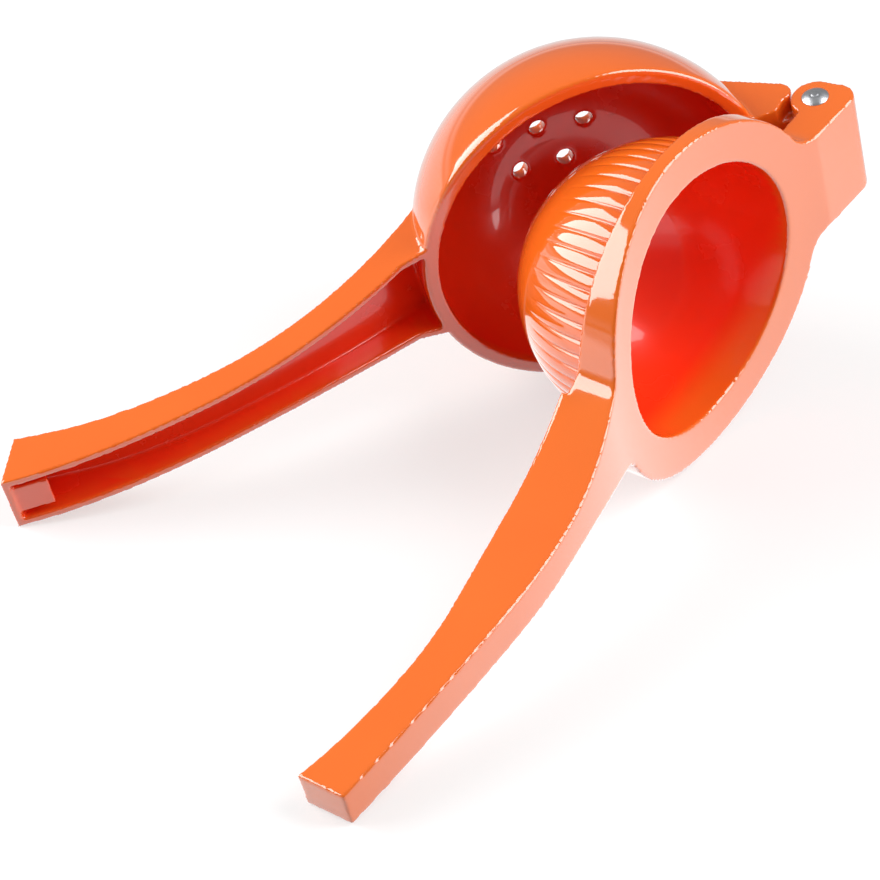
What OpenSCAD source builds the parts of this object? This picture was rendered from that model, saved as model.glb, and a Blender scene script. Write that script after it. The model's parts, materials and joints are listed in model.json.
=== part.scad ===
// Hinged citrus squeezer: a perforated bowl arm and a ribbed press arm, joined by one riveted hinge.
//
// Each arm is drawn in its own plane: x runs along the arm away from the hinge axis, y points out of
// the press side and z lies along the hinge axis, so that both drawings coincide when the squeezer is
// shut. The arms are then opened by the same angle to either side and the whole tool is laid on its
// side, resting on one cup and on the two handle tips.

/* [Opening] */
// Angle between the arms as the squeezer lies, degrees
open_angle = 33.6; // [20:0.1:60]

/* [Press cup] */
// Distance from the hinge axis to the middle of both cups
cup_reach = 60; // [56:0.5:70]
// Outside diameter of the press flange
flange_d = 90; // [84:0.5:94]
// Thickness of the flange at the middle of the cup
flange_t = 4.2; // [3:0.1:6]
// Diameter of the hollow at the back of the press dome
hollow_d = 68.6; // [60:0.2:69]
// Diameter of the dome over its rib crests
dome_d = 73.2; // [68:0.2:76]
// Depth of the dome's tip below the flange's front face
dome_depth = 42.4; // [36:0.1:42.6]
// Number of ribs around the dome
rib_count = 54; // [36:1:60]
// Depth of the grooves between the ribs at the flange
rib_depth = 0.95; // [0.5:0.05:1.2]
// Width of a groove
groove_w = 1.1; // [0.6:0.1:1.6]
// Angle from the dome's tip to where the ribs fade out
rib_fade = 57; // [45:1:70]
// Radius of the flange back's hollow curve towards the hinge
saddle_r_hinge = 227; // [200:1:260]
// Radius of the flange back's hollow curve towards the handle
saddle_r_handle = 139; // [120:1:150]

/* [Bowl cup] */
// Outside diameter of the bowl
bowl_d = 92.4; // [90:0.2:96]
// Wall of the bowl
bowl_wall = 4; // [3:0.1:4.5]
// Inside depth of the bowl below its rim
bowl_depth = 43.6; // [43.4:0.1:46]
// Diameter of the juice holes
hole_d = 5.1; // [3:0.1:6]
// Distance between neighbouring juice holes
hole_pitch = 12.3; // [9:0.1:15]
// Number of juice holes around the middle one
hole_count = 6; // [4:1:8]
// Turn of the ring of holes from the line of the handle, degrees
hole_turn = 6; // [0:1:30]

/* [Press handle] */
// Distance from the hinge axis to the end of the press handle
press_reach = 225; // [215:1:240]
// Width of the solid press handle along the hinge axis
bar_w = 9.8; // [8:0.2:11]
// Width of the press handle where it leaves the flange
bar_root_w = 24; // [18:0.5:26]

/* [Bowl handle] */
// Distance from the hinge axis to the upper end of the bowl handle
bowl_reach = 220.3; // [210:1:235]
// Outside width of the channel along the grip
channel_w = 15.6; // [15:0.2:18]
// Outside width of the channel where it leaves the bowl
channel_root_w = 30; // [27:0.5:34]
// Wall of the channel
channel_wall = 2; // [1.6:0.1:2.4]
// Wall left between the bowl and the channel
mouth_wall = 2.5; // [2:0.1:3.5]
// Length of the bumper pad at the channel's tip
pad_length = 9; // [5:0.5:15]
// Width of the bumper pad
pad_w = 8.2; // [6:0.2:9]
// Depth of the pad's top below the channel's edges
pad_drop = 1; // [0.5:0.1:2]

/* [Hinge] */
// Overall width of the hinge fork
fork_w = 29.6; // [26:0.5:34]
// Thickness of each ear of the fork
ear_t = 5; // [4:0.1:7]
// Diameter of the round front of the ears
ear_d = 12.4; // [11.6:0.2:13]
// Wall at the back of the fork
fork_back_t = 2.4; // [2:0.1:3]
// Diameter of the rivet
pin_d = 5; // [4:0.1:6]
// Diameter of the rivet's heads
pin_head_d = 6.8; // [5.6:0.1:9]
// Height of the rivet's heads
pin_head_h = 1.1; // [0.6:0.1:2]
// Radial running clearance between the rivet and the knuckle
pin_clearance = 0.05; // [0.02:0.01:0.08]

/* [Hidden] */
$fn = 96;

half_open = open_angle / 2;
far = 400;       // larger than the whole tool
gap = 0.3;       // clearance between the two arms

// --- Heights, all measured across the arms from the hinge axis ---
flange_front = -1;
flange_back = flange_front + flange_t;
rim_y = flange_front - gap;

// --- Press cup ---
flange_r = flange_d / 2;
dome_r = dome_d / 2;
dome_tip = flange_front - dome_depth;
// The grooves' floor is a ball that carries on as the smooth cap; the rib crests lie on a second ball,
// and the two meet where the ribs fade out.
cap_drop = (2 * dome_r * rib_depth - pow(rib_depth, 2)) / (2 * dome_r * cos(rib_fade));
cap_r = sqrt(pow(dome_r - rib_depth, 2) + pow(cap_drop, 2));
cap_y = dome_tip + cap_r;
crest_y = cap_y + cap_drop;
hollow_r = hollow_d / 2;
tip_flat = 0.005;                        // the dome's tip and the hollow's end are flat by a hair
groove_start_r = cap_r * sin(rib_fade) - 2;   // the grooves run out before this distance from the axis

// --- Bowl cup ---
bowl_r = bowl_d / 2;
bowl_inner_r = bowl_r - bowl_wall;
bowl_y = rim_y - (bowl_depth - bowl_inner_r);

// --- Hinge ---
ear_r = ear_d / 2;
fork_back = ear_r + 0.4 + fork_back_t;   // back face of the fork
fork_corner_r = 4.6;                     // round corner at the back of the fork
fork_corner = [-2.3, fork_back - fork_corner_r];
fork_gap_w = fork_w - 2 * ear_t;
knuckle_r = ear_r - 0.2;
knuckle_w = fork_gap_w - 2 * gap;
fork_lip = 3.5;                          // the fork's mouth reaches this far round the rivet
crease_x = 12.4;                         // crease between the fork's back and the flange
weld = 0.05;                             // a round bites this far into the faces beside it
root_fillet_r = 8;                       // round between the fork's sides and the flange
lug_w = fork_w - 0.8;
lug_end = [6.9, -7.4];                   // round outer end of the bowl's lug
lug_end_r = 3.3;
lug_top_x = 10;                          // the lug's top runs level with the rim from here
lug_root_y = -23.6;                      // the lug's underside runs into the bowl's wall at this height
lug_root_r = bowl_inner_r + 0.5;         // and ends just short of the bowl's inside
lug_root_x = cup_reach - sqrt(pow(lug_root_r, 2) - pow(lug_root_y - bowl_y, 2));
lug_belly = [4.9, -10];                  // where the lug's underside leaves its round end
neck_top_x = 11;                         // the knuckle's neck runs level with the rim from here
fork_end_x = 25;                         // the fork's sides end inside the flange

// --- Press handle: arcs of its outline across the arm ---
bar_root_x = cup_reach + flange_r;
bar_start_x = bar_root_x - 12;           // inside the flange
bar_waist_x = bar_root_x + 35;           // the flare from the flange ends here
bar_fillet_r = 7;                        // round between the flare and the flange
saddle_end_x = cup_reach + flange_r + 3; // the back turns from hollow to rounded here
saddle_lift = saddle_r_handle - sqrt(pow(saddle_r_handle, 2) - pow(saddle_end_x - cup_reach, 2));
saddle_slope = asin((saddle_end_x - cup_reach) / saddle_r_handle);
crest_x = 165;                           // highest point of the handle's back
bar_back_r = (crest_x - saddle_end_x) / sin(saddle_slope);
bar_crest = flange_back + saddle_lift + bar_back_r * (1 - cos(saddle_slope));
bar_tip_back_r = 900;
bar_inner_root = -2.8;                   // inner edge at the root
bar_inner_slope = 10.8;                  // degrees
bar_inner_turn_x = 168;                  // the straight inner edge ends here
bar_inner_r = 118;
bar_inner_tip_r = 160;
bar_inner_turn_y = bar_inner_root + (bar_inner_turn_x - saddle_end_x) * tan(bar_inner_slope);
bar_inner_crest_x = bar_inner_turn_x + bar_inner_r * sin(bar_inner_slope);
bar_inner_crest = bar_inner_turn_y + bar_inner_r * (1 - cos(bar_inner_slope));

// --- Bowl handle: arcs of its outline across the arm ---
edge_crest = [194, 14.6];                // highest point of the channel's edges
edge_root_r = 225;
edge_tip_r = 140;
back_crest = [180, 4.3];                 // highest point of the channel's back
back_root_r = 153;
back_tip_r = 103;
channel_start_x = cup_reach + 35;        // inside the bowl's wall
channel_mouth_x = cup_reach + bowl_inner_r + mouth_wall;
channel_waist_x = 165;                   // the flare from the bowl ends here
channel_root_x = cup_reach + 40;
channel_root_l = 18;                     // length and height of the flat-topped root
channel_root_h = 20;
past_edges = 5;                          // the channel's hollow is cut this far past its edges
tip_lean = 7.1;                          // the back of the tip stands back this far
tip_back_y = -1.5;
tip_edge_y = 12;

// --- Laying the tool down ---
// A point of an arm's drawing once the arm is opened by angle a.
function opened(a, p) = [p.x * cos(a) - p.y * sin(a), p.x * sin(a) + p.y * cos(a), p.z];
function arc_y(x, crest, r) = crest.y - r + sqrt(r * r - pow(x - crest.x, 2));

press_tip_inner_y = arc_y(press_reach, [bar_inner_crest_x, bar_inner_crest], bar_inner_tip_r);
press_tip_back_y = arc_y(press_reach, [crest_x, bar_crest], bar_tip_back_r);
bowl_tip_edge_y = arc_y(bowl_reach, edge_crest, edge_tip_r);
press_foot = opened(half_open, [press_reach, press_tip_inner_y, -bar_w / 2]);
bowl_foot = opened(-half_open, [bowl_reach, bowl_tip_edge_y, -channel_w / 2]);
flange_middle = opened(half_open, [cup_reach, flange_back, 0]);

// The table touches both feet and the cup that reaches lower.
feet_line = (press_foot - bowl_foot) / norm(press_foot - bowl_foot);
bowl_middle = opened(-half_open, [cup_reach, bowl_y, 0]);
// Upward direction of a table that touches both feet and a cup of radius r about the point middle.
function up_under(middle, r) =
    let (
        to_cup = middle - press_foot,
        square_on = to_cup - (to_cup * feet_line) * feet_line,
        reach = norm(square_on),
        lean = r / reach
    )
    lean * square_on / reach + sqrt(1 - lean * lean) * cross(feet_line, square_on / reach);
up_under_flange = up_under(flange_middle, flange_r);
up_under_bowl = up_under(bowl_middle, bowl_r);
table_up = up_under_bowl.z < up_under_flange.z ? up_under_bowl : up_under_flange;
pitch = atan2(-table_up.x, table_up.z);
roll = atan2(table_up.y, norm([table_up.x, table_up.z]));

function pitched(p) = [p.x * cos(pitch) + p.z * sin(pitch), p.y, p.z * cos(pitch) - p.x * sin(pitch)];
function rolled(p) = [p.x, p.y * cos(roll) - p.z * sin(roll), p.y * sin(roll) + p.z * cos(roll)];
function lying(p) = rolled(pitched(p));

// The origin is under the middle of the tool's box.
fork_corner_low = opened(half_open, [fork_corner.x, fork_corner.y, -fork_w / 2]);
box_low_x = lying(fork_corner_low - [fork_corner_r, 0, 0]).x;
box_high_x = lying(opened(-half_open, [bowl_reach, bowl_tip_edge_y, channel_w / 2])).x;
box_high_y = lying(opened(half_open, [press_reach, press_tip_back_y, bar_w / 2])).y;
box_low_y = lying(opened(-half_open, [cup_reach, bowl_y, 0])).y - bowl_r;
origin_shift = [-(box_low_x + box_high_x) / 2, -(box_low_y + box_high_y) / 2, -lying(press_foot).z];

// Opens an arm by angle a, then lays it on the table.
module lay_down(a) {
    translate(origin_shift)
        rotate([roll, 0, 0]) rotate([0, pitch, 0]) rotate([0, 0, a])
            children();
}

// Turns a drawing of (radius, height) into a body of revolution about the cups' axis.
module turned_about_cup() {
    translate([cup_reach, 0, 0]) rotate([-90, 0, 0]) rotate_extrude($fn = 144) children();
}

// Raises a drawing of (x, z) along y, over the whole height of the tool.
module raised() {
    translate([0, -far / 2, 0]) rotate([-90, 0, 0]) linear_extrude(far) children();
}

// Raises a drawing of (x, y) along the hinge axis to width w, half to each side.
module across(w) {
    linear_extrude(w, center = true) children();
}

// Radius of the hollow side of a handle that flares from width w to w_root over a length.
function flare_radius(length, w, w_root) = (pow(length, 2) + pow((w_root - w) / 2, 2)) / (w_root - w);

// Outline from above of a handle that flares from width w at x_waist to w_root at x_root.
module flared_outline(x_start, x_end, w, x_waist, w_root, x_root, inset = 0) {
    flare_r = flare_radius(x_waist - x_root, w, w_root);
    difference() {
        translate([x_start, -w_root / 2 - 5]) square([x_end - x_start, w_root + 10]);
        for (side = [-1, 1]) {
            translate([x_waist, side * (w / 2 + flare_r)]) circle(flare_r + inset, $fn = 360);
            translate([x_waist, side * (w / 2 - inset + far / 2) - far / 2]) square([far, far]);
        }
    }
}

// Part of a disc whose top is at crest, between two values of x.
module arched(crest, r, x_low, x_high) {
    intersection() {
        translate([crest.x, crest.y - r]) circle(r, $fn = 360);
        translate([x_low, -far / 2]) square([x_high - x_low, far]);
    }
}

// --- Press arm ---

// Fills a corner beside the round flange with a hollow round of radius r about centre, which bites a
// hair into the flange and into the side that it runs on to at the point side_touch.
module flange_corner(centre, r, side_touch) {
    difference() {
        polygon([[cup_reach, 0], centre, 2 * side_touch - centre, [side_touch.x, 0]]);
        translate(centre) circle(r);
    }
}

// Corner between a side of the fork and the flange.
module fork_corner_fill() {
    z = fork_w / 2 + root_fillet_r - weld;
    x = cup_reach - sqrt(pow(flange_r + root_fillet_r - weld, 2) - pow(z, 2));
    flange_corner([x, z], root_fillet_r, [x, fork_w / 2]);
}

// Corner between the flare of the handle and the flange.
module bar_corner_fill() {
    flare_r = flare_radius(bar_waist_x - bar_root_x, bar_w, bar_root_w);
    flare_centre = [bar_waist_x, bar_w / 2 + flare_r];
    from_cup = flange_r + bar_fillet_r - weld;
    from_flare = flare_r - bar_fillet_r + weld;
    across_centres = flare_centre - [cup_reach, 0];
    apart = norm(across_centres);
    along = (pow(from_cup, 2) - pow(from_flare, 2) + pow(apart, 2)) / (2 * apart);
    aside = sqrt(pow(from_cup, 2) - pow(along, 2));
    unit = across_centres / apart;
    centre = [cup_reach, 0] + along * unit + aside * [unit.y, -unit.x];
    flange_corner(centre, bar_fillet_r, flare_centre + (centre - flare_centre) * flare_r / from_flare);
}

module press_outline() {
    translate([cup_reach, 0]) circle(flange_r, $fn = 144);
    translate([-far, -fork_w / 2]) square([far + fork_end_x, fork_w]);
    for (side = [0, 1]) mirror([0, side]) {
        fork_corner_fill();
        bar_corner_fill();
    }
    flared_outline(bar_start_x, press_reach, bar_w, bar_waist_x, bar_root_w, bar_root_x);
}

// Rise of the flange's back above its middle, on the hinge side.
function saddle_rise(x) = saddle_r_hinge - sqrt(pow(saddle_r_hinge, 2) - pow(x - cup_reach, 2));

// Back of the fork, before the flange's hollow back is cut from it. Its ramp runs on past the crease.
module fork_block() {
    ramp = [crease_x, flange_back + saddle_rise(crease_x)] - [fork_corner.x, fork_back];
    ramp_end = [fork_corner.x, fork_back] + 2 * ramp;
    polygon([
        [-ear_r, 0], [fork_corner.x - fork_corner_r, fork_corner.y], [fork_corner.x, fork_back],
        ramp_end, [ramp_end.x, flange_front], [0, flange_front]
    ]);
}

// Fork and flange seen along the hinge axis.
module flange_profile() {
    slab_t = 20;   // thicker than the saddle's ends
    circle(ear_r);
    translate(fork_corner) circle(fork_corner_r);
    difference() {
        union() {
            fork_block();
            translate([crease_x + 2, flange_front]) square([saddle_end_x - crease_x - 2, slab_t]);
        }
        intersection() {
            translate([cup_reach, flange_back + saddle_r_hinge]) circle(saddle_r_hinge, $fn = 360);
            square([cup_reach, far]);
        }
        intersection() {
            translate([cup_reach, flange_back + saddle_r_handle]) circle(saddle_r_handle, $fn = 360);
            translate([cup_reach, 0]) square([far, far]);
        }
    }
}

module bar_profile() {
    difference() {
        union() {
            arched([crest_x, bar_crest], bar_back_r, saddle_end_x, crest_x);
            arched([crest_x, bar_crest], bar_tip_back_r, crest_x, press_reach);
        }
        polygon([
            [saddle_end_x - 1, -far], [saddle_end_x - 1, bar_inner_root - tan(bar_inner_slope)],
            [bar_inner_turn_x, bar_inner_turn_y], [bar_inner_turn_x, -far]
        ]);
        arched([bar_inner_crest_x, bar_inner_crest], bar_inner_r, bar_inner_turn_x, bar_inner_crest_x);
        arched([bar_inner_crest_x, bar_inner_crest], bar_inner_tip_r, bar_inner_crest_x, far);
        translate([bar_inner_turn_x, -far]) square([far, far]);
    }
}

module press_profile() {
    flange_profile();
    bar_profile();
}

// Full dome over the rib crests, with the smooth cap that carries on past them.
module dome_body() {
    turned_about_cup() intersection() {
        union() {
            translate([0, cap_y]) circle(cap_r, $fn = 144);
            translate([0, crest_y]) circle(dome_r, $fn = 144);
            translate([0, crest_y]) square([dome_r, flange_front - crest_y + 1]);
        }
        translate([0, dome_tip + tip_flat]) square([far, flange_front - dome_tip + 1]);
    }
}

// Everything that the grooves may not reach: the cap's ball and its neck up to the flange.
module groove_floor() {
    turned_about_cup() intersection() {
        union() {
            translate([0, cap_y]) circle(cap_r, $fn = 144);
            translate([0, cap_y]) square([cap_r, far]);
        }
        translate([0, dome_tip - 10]) square([far, far]);
    }
}

module grooves() {
    difference() {
        for (i = [0 : rib_count - 1])
            translate([cup_reach, 0, 0]) rotate([0, i * 360 / rib_count, 0])
                translate([groove_start_r, dome_tip, -groove_w / 2])
                    cube([far, flange_front - dome_tip, groove_w]);
        groove_floor();
    }
}

module dome_hollow() {
    turned_about_cup() intersection() {
        union() {
            translate([0, crest_y]) circle(hollow_r, $fn = 144);
            translate([0, crest_y]) square([hollow_r, far]);
        }
        translate([0, crest_y - hollow_r + tip_flat]) square([far, far]);
    }
}

// Room for the knuckle between the ears: closed at the back, open towards the bowl and past the lip.
module fork_slot() {
    across(fork_gap_w) {
        circle(fork_back - fork_back_t);
        translate([-far, -far]) square([far, far + fork_lip]);
        translate([0, -far]) square([fork_back - fork_back_t, far]);
    }
}

module press_arm() {
    color([0.97, 0.42, 0.13])
    lay_down(half_open)
    difference() {
        union() {
            intersection() {
                across(2 * flange_r + 10) press_profile();
                raised() press_outline();
            }
            difference() {
                dome_body();
                grooves();
            }
        }
        dome_hollow();
        fork_slot();
        cylinder(d = pin_d, h = fork_w + 2, center = true);
    }
}

// --- Bowl arm ---

module bowl_shell() {
    turned_about_cup() intersection() {
        union() {
            translate([0, bowl_y]) circle(bowl_r, $fn = 144);
            translate([0, bowl_y]) square([bowl_r, rim_y - bowl_y]);
        }
        translate([0, -far]) square([far, far + rim_y]);
    }
}

module bowl_inside() {
    turned_about_cup() intersection() {
        union() {
            translate([0, bowl_y]) circle(bowl_inner_r, $fn = 144);
            translate([0, bowl_y]) square([bowl_inner_r, far]);
        }
        translate([0, -far]) square([far, 2 * far]);
    }
}

module juice_holes() {
    hole_h = bowl_r + 10;
    translate([cup_reach, bowl_y, 0]) rotate([90, 0, 0]) {
        cylinder(d = hole_d, h = hole_h);
        for (i = [0 : hole_count - 1]) rotate(hole_turn + i * 360 / hole_count)
            translate([hole_pitch, 0, 0]) cylinder(d = hole_d, h = hole_h);
    }
}

// Bowl's lug and the neck of its knuckle seen along the hinge axis.
module lug_profile() {
    translate(lug_end) circle(lug_end_r);
    polygon([
        [lug_end.x, lug_end.y + lug_end_r], [lug_top_x, rim_y], [lug_root_x, rim_y],
        [lug_root_x, lug_root_y], lug_belly, lug_end
    ]);
}

module neck_profile() {
    circle(knuckle_r);
    polygon([[0, 0], [knuckle_r, rim_y], [neck_top_x, rim_y], lug_end, [0, -knuckle_r]]);
}

// Side view of the channel handle. With an inset it is the space between the channel's walls, and
// lift carries that space past the channel's edges.
module channel_profile(inset = 0, lift = 0) {
    tip_x = bowl_reach - inset;
    edge_top = edge_crest + [0, lift];
    back_top = back_crest + [0, inset];
    reach = far / 4;
    difference() {
        intersection() {
            union() {
                arched(edge_top, edge_root_r + lift, channel_start_x, edge_crest.x);
                arched(edge_top, edge_tip_r + lift, edge_crest.x, far);
                // Flat-topped root, level with the bowl's rim
                translate([channel_start_x, rim_y - channel_root_h])
                    square([channel_root_l, channel_root_h + lift]);
            }
            polygon([
                [channel_start_x, -reach], [tip_x - tip_lean - (reach + tip_back_y) * tip_run(), -reach],
                [tip_x + (reach - tip_edge_y) * tip_run(), reach], [channel_start_x, reach]
            ]);
        }
        arched(back_top, back_root_r + inset, 0, back_crest.x);
        arched(back_top, back_tip_r + inset, back_crest.x, far);
        translate([back_crest.x, -2 * far]) square([far, 2 * far - back_tip_r + back_crest.y]);
    }
}

// Lean of the tip's end face: x gained for each millimetre of y.
function tip_run() = tip_lean / (tip_edge_y - tip_back_y);

module channel_outline(inset = 0) {
    flared_outline(channel_start_x, far, channel_w, channel_waist_x, channel_root_w, channel_root_x, inset);
}

module channel_space() {
    intersection() {
        across(far) channel_profile(channel_wall, past_edges);
        raised() intersection() {
            channel_outline(channel_wall);
            translate([channel_mouth_x, -far / 2]) square(far);
        }
    }
}

module bumper_pad() {
    pad_x = bowl_reach - channel_wall - pad_length;
    across(pad_w) intersection() {
        translate([0, -pad_drop]) channel_profile();
        translate([pad_x, -far / 2]) square(far);
    }
}

module bowl_arm() {
    color([0.95, 0.38, 0.12])
    lay_down(-half_open)
    difference() {
        union() {
            difference() {
                union() {
                    bowl_shell();
                    intersection() {
                        across(far) channel_profile();
                        raised() channel_outline();
                    }
                    across(lug_w) lug_profile();
                }
                bowl_inside();
                channel_space();
                juice_holes();
            }
            bumper_pad();
            across(knuckle_w) neck_profile();
        }
        cylinder(r = pin_d / 2 + pin_clearance, h = fork_w, center = true);
        // Round hollow in the lug that lets the ears turn.
        for (side = [-1, 1]) translate([0, 0, side * (knuckle_w / 2 + far / 2)])
            cylinder(r = ear_r + gap, h = far, center = true);
    }
}

// --- Rivet ---

// Rivet with a domed head outside each ear.
module hinge_pin() {
    head_r = (pow(pin_head_d / 2, 2) + pow(pin_head_h, 2)) / (2 * pin_head_h);
    color("silver")
    lay_down(half_open) {
        cylinder(d = pin_d, h = fork_w, center = true);
        for (side = [-1, 1]) intersection() {
            translate([0, 0, side * (fork_w / 2 + pin_head_h - head_r)]) sphere(head_r);
            translate([0, 0, side * (fork_w / 2 + pin_head_h)])
                cube([far, far, 2 * pin_head_h], center = true);
        }
    }
}

bowl_arm();
press_arm();
hinge_pin();
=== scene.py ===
"""Open hinged citrus squeezer, lying on its side: two enamelled castings and the rivet between them."""

from __future__ import annotations

import json
import logging
import math
from dataclasses import dataclass
from enum import Enum
from typing import Callable, Iterable, Sequence

import bmesh
import bpy
from mathutils import Matrix, Vector

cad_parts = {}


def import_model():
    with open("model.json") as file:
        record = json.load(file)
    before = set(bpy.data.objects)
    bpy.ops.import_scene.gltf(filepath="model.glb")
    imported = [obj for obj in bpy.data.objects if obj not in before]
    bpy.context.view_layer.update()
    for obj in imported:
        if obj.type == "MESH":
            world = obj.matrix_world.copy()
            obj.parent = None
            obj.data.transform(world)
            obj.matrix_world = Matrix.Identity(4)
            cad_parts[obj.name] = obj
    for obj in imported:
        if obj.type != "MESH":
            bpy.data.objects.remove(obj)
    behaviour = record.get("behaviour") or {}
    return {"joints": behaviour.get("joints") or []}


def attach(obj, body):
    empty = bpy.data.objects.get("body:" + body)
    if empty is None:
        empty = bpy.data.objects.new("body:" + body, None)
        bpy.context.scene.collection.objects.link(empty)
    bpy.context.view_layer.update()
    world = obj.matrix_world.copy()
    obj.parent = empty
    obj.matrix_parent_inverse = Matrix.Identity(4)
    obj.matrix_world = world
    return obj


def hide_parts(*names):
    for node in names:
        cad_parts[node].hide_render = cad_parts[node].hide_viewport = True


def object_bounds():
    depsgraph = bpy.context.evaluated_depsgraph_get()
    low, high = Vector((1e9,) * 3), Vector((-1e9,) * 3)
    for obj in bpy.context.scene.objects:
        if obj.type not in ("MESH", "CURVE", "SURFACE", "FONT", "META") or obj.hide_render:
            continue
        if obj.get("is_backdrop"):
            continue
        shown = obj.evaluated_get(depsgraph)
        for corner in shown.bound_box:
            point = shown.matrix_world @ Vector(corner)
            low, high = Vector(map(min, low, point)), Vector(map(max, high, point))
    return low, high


log = logging.getLogger("squeezer")

MM = 0.001  # a millimetre in metres
FAR = 60.0  # mm, further than anything that is cut or kept
BITE = 1.0  # mm, how far solids reach into each other where they melt together
WELD = 1e-4  # mm, points closer than this are one
TOUCH = 0.01  # mm, points closer than this to a surface lie on it
SIDES = 96  # sides of a rod and of the rivet
SETTLE = 20  # steps in which a curve and an end face find where they meet
# Painted shade: the vertex attribute holds each point's share of the darker red painted into the hollows in
# place of the shade there.
PAINTED_SHADE = "painted_shade"  # the vertex attribute that the enamel reads
# A turn that leaves no edge of the tool in line with the grid of a voxel remesh.
SKEW = Matrix.Rotation(0.61, 4, "X") @ Matrix.Rotation(0.47, 4, "Y") @ Matrix.Rotation(0.73, 4, "Z")

Point = tuple[float, float]
Colour = tuple[float, float, float, float]


class Arm(Enum):
    """The two arms, with the way each is turned from the shut tool's middle plane."""

    PRESS = 1
    BOWL = -1


class Plane(Enum):
    """The plane that an outline is drawn in."""

    SIDE = "x along the arm, y out of the press side"
    ABOVE = "x along the arm, z along the hinge axis"


class Join(Enum):
    """How one solid changes another."""

    CUT = "DIFFERENCE"
    KEEP = "INTERSECT"


class Turning(Enum):
    """An axis that something is turned about: its direction, then a point on it, mm."""

    CUP = ((0, 1, 0), (60.0, 0, 0))
    HINGE = ((0, 0, 1), (0, 0, 0))

    @property
    def axis(self) -> Vector:
        """Direction of the axis."""
        return Vector(self.value[0])

    @property
    def middle(self) -> Vector:
        """Point on the axis that heights are counted from."""
        return Vector(self.value[1])

    def place(self, radius: float, height: float) -> Vector:
        """Point at a radius from the axis, on the side that x points to."""
        return self.middle + radius * Vector((1, 0, 0)) + height * self.axis


# --- Outlines ---


def arc(centre: Point, radius: float, start: float, stop: float, step: float = 0.4) -> list[Point]:
    """Points along a round stretch of an outline.

    Args:
        centre: Middle of the circle, mm.
        radius: Radius, mm.
        start: Angle of the first point, degrees.
        stop: Angle of the last point, degrees.
        step: Distance between points, mm.

    Returns:
        The points, both ends included.
    """
    count = max(4, math.ceil(abs(math.radians(stop - start)) * radius / step))
    angles = [math.radians(start + (stop - start) * i / count) for i in range(count + 1)]
    return [(centre[0] + radius * math.cos(a), centre[1] + radius * math.sin(a)) for a in angles]


def crest(x: float, top: Point, radius: float) -> float:
    """Height at x of an arc of the given radius whose highest point is top."""
    return top[1] - radius + math.sqrt(radius**2 - (x - top[0]) ** 2)


def hollow(x: float, bottom: Point, radius: float) -> float:
    """Height at x of an arc of the given radius whose lowest point is bottom."""
    return bottom[1] + radius - math.sqrt(radius**2 - (x - bottom[0]) ** 2)


def along(start: float, stop: float, height: Callable[[float], float], step: float = 0.5) -> list[Point]:
    """Points of the curve height(x) from start to stop, about a step apart, both ends included.

    Args:
        start: The x of the first point, mm.
        stop: The x of the last point, mm.
        height: Height of the curve at x, mm.
        step: Distance between points along x, mm.

    Returns:
        The points.
    """
    count = max(2, math.ceil(abs(stop - start) / step))
    places = [start + (stop - start) * i / count for i in range(count + 1)]
    return [(x, height(x)) for x in places]


def angle_from(centre: Point, point: Point) -> float:
    """Direction from centre to point, degrees."""
    return math.degrees(math.atan2(point[1] - centre[1], point[0] - centre[0]))


def mirrored(half: Sequence[Point]) -> list[Point]:
    """Closes an outline from its upper half, which runs from one end of the middle line to the other."""
    return list(half) + [(x, -z) for x, z in reversed(half)]


# --- Solids ---


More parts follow.
